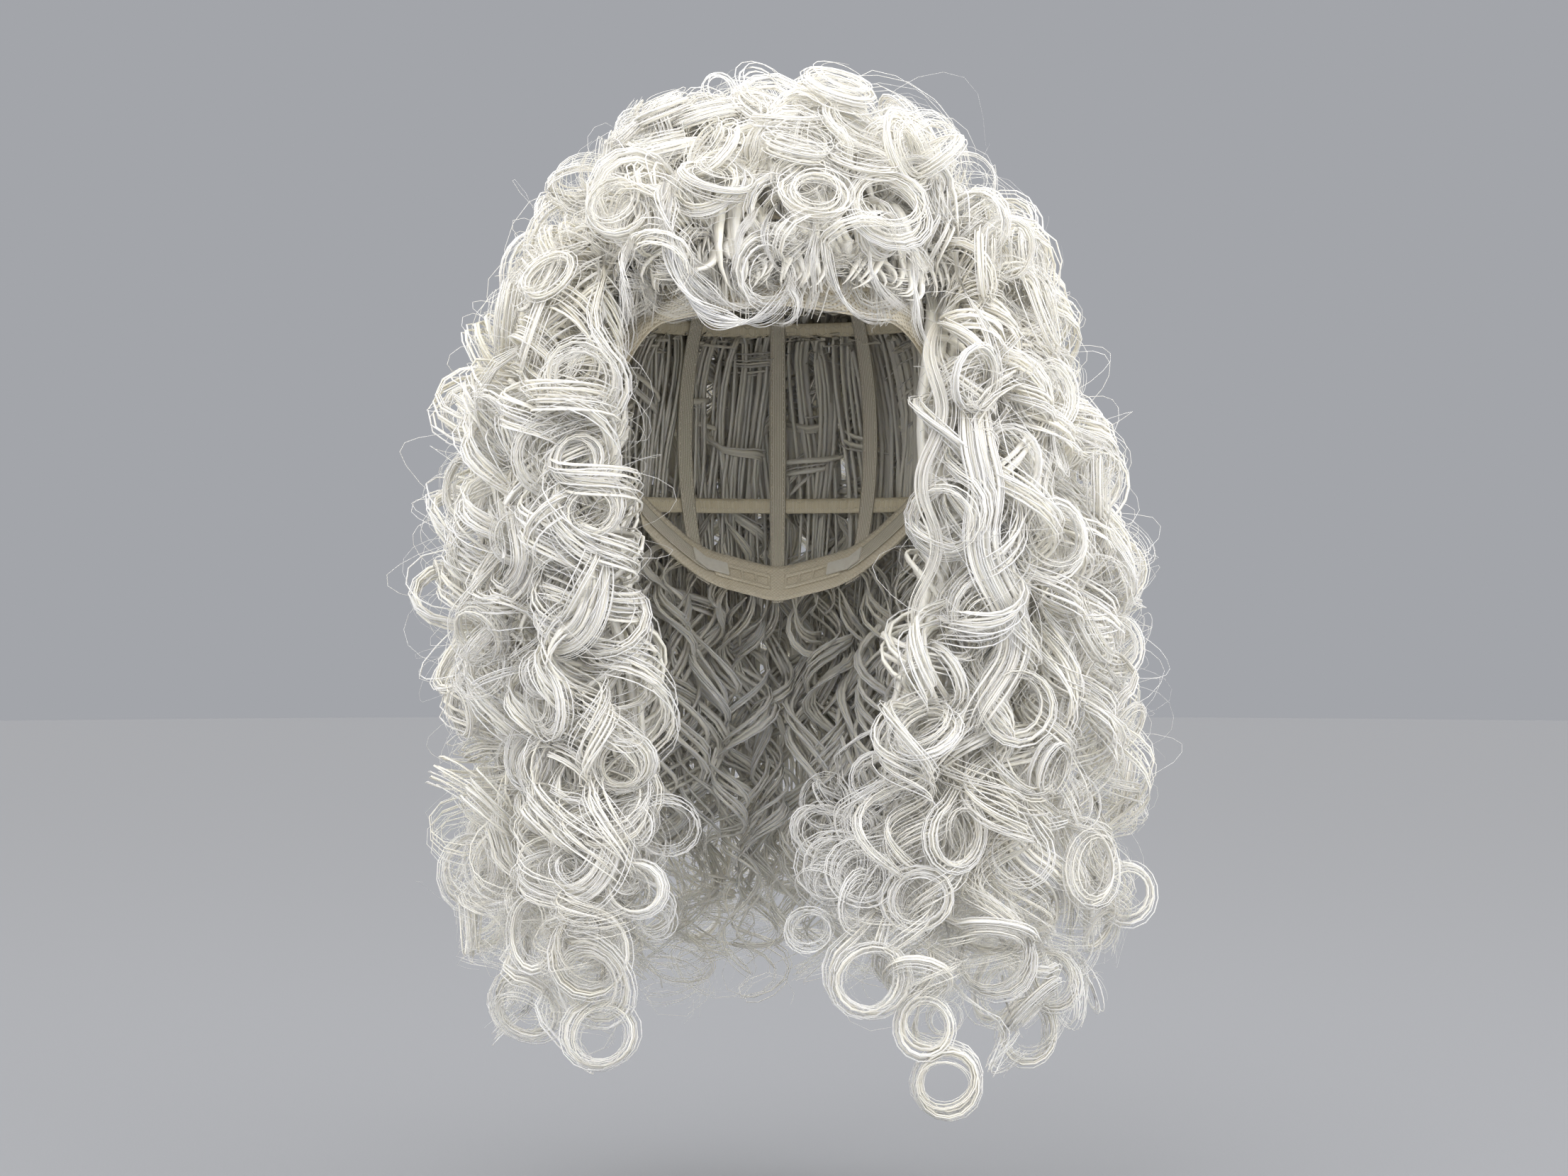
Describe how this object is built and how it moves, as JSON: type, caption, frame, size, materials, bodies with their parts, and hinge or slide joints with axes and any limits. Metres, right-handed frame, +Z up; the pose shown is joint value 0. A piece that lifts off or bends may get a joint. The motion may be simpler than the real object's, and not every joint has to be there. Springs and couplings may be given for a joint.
{
  "type": "costume wig",
  "caption": "Long curly costume wig: stretch net cap with sewn tracks, set curls over the crown, long ringlets that swing at the sides and back, bending ear tabs and nape adjusters.",
  "frame": {"origin": "centre of the head that wears the wig, level with the ears' upper roots", "axes": "+Z up through the crown, -Y out through the face opening, +X to the wearer's left"},
  "size_m": [0.3231, 0.2957, 0.4348],
  "materials": {
    "hair": "satin curled synthetic fibre",
    "track": "sewn fibre band",
    "net": "open stretch net",
    "lace": "closed stretch lace",
    "band": "folded edge binding",
    "tape": "woven elastic",
    "stay": "flat spring strip",
    "hook": "moulded"
  },
  "bodies": {
    "cap": {"crown_net": "net", "front_lace": "lace", "front_band": "band", "left_ear_binding": "band", "right_ear_binding": "band", "nape_band": "band", "centre_rib": "net", "left_back_rib": "net", "right_back_rib": "net", "left_side_rib": "net", "right_side_rib": "net", "left_ladder_tape": "tape", "right_ladder_tape": "tape", "fringe_track": "track", "lower_crown_track": "track", "middle_crown_track": "track", "upper_crown_track": "track", "left_side_track": "track", "right_side_track": "track", "back_track": "track", "lower_back_track": "track", "nape_track": "track", "fringe_curls": "hair", "lower_crown_curls": "hair", "middle_crown_curls": "hair", "upper_crown_curls": "hair", "lower_back_hair": "hair", "nape_hair": "hair"},
    "left_side": {"left_side_curls": "hair"},
    "right_side": {"right_side_curls": "hair"},
    "left_back": {"left_back_curls": "hair"},
    "right_back": {"right_back_curls": "hair"},
    "left_tab": {"left_ear_tab": "band", "left_ear_stay": "stay"},
    "right_tab": {"right_ear_tab": "band", "right_ear_stay": "stay"},
    "left_adjuster": {"left_strap": "tape", "left_hook": "hook"},
    "right_adjuster": {"right_strap": "tape", "right_hook": "hook"}
  },
  "joints": [
    {"name": "left_side_swing", "type": "hinge", "parent": "cap", "child": "left_side", "pos_m": [0.0618, 0, 0.0567], "axis": [0, -1, 0], "range_deg": [0, 20]},
    {"name": "right_side_swing", "type": "hinge", "parent": "cap", "child": "right_side", "pos_m": [-0.0618, 0, 0.0567], "axis": [0, 1, 0], "range_deg": [0, 20]},
    {"name": "left_back_swing", "type": "hinge", "parent": "cap", "child": "left_back", "pos_m": [0.04, 0.0629, 0.0532], "axis": [0.8434, -0.5373, 0], "range_deg": [0, 20]},
    {"name": "right_back_swing", "type": "hinge", "parent": "cap", "child": "right_back", "pos_m": [-0.04, 0.0629, 0.0532], "axis": [0.8434, 0.5373, 0], "range_deg": [0, 20]},
    {"name": "left_tab_bend", "type": "hinge", "parent": "cap", "child": "left_tab", "pos_m": [0.0732, -0.0298, 0.0249], "axis": [0.2504, 0.9681, 0], "range_deg": [0, 25], "stiffness_Nm_per_rad": 0.01},
    {"name": "right_tab_bend", "type": "hinge", "parent": "cap", "child": "right_tab", "pos_m": [-0.0732, -0.0298, 0.0249], "axis": [0.2504, -0.9681, 0], "range_deg": [0, 25], "stiffness_Nm_per_rad": 0.01},
    {"name": "left_adjuster_swing", "type": "hinge", "parent": "cap", "child": "left_adjuster", "pos_m": [0.0634, 0.0534, -0.0322], "axis": [0.1882, 0.1595, 0.9691], "range_deg": [0, 40], "stiffness_Nm_per_rad": 0.003},
    {"name": "right_adjuster_swing", "type": "hinge", "parent": "cap", "child": "right_adjuster", "pos_m": [-0.0634, 0.0534, -0.0322], "axis": [0.1882, -0.1595, -0.9691], "range_deg": [0, 40], "stiffness_Nm_per_rad": 0.003}
  ]
}
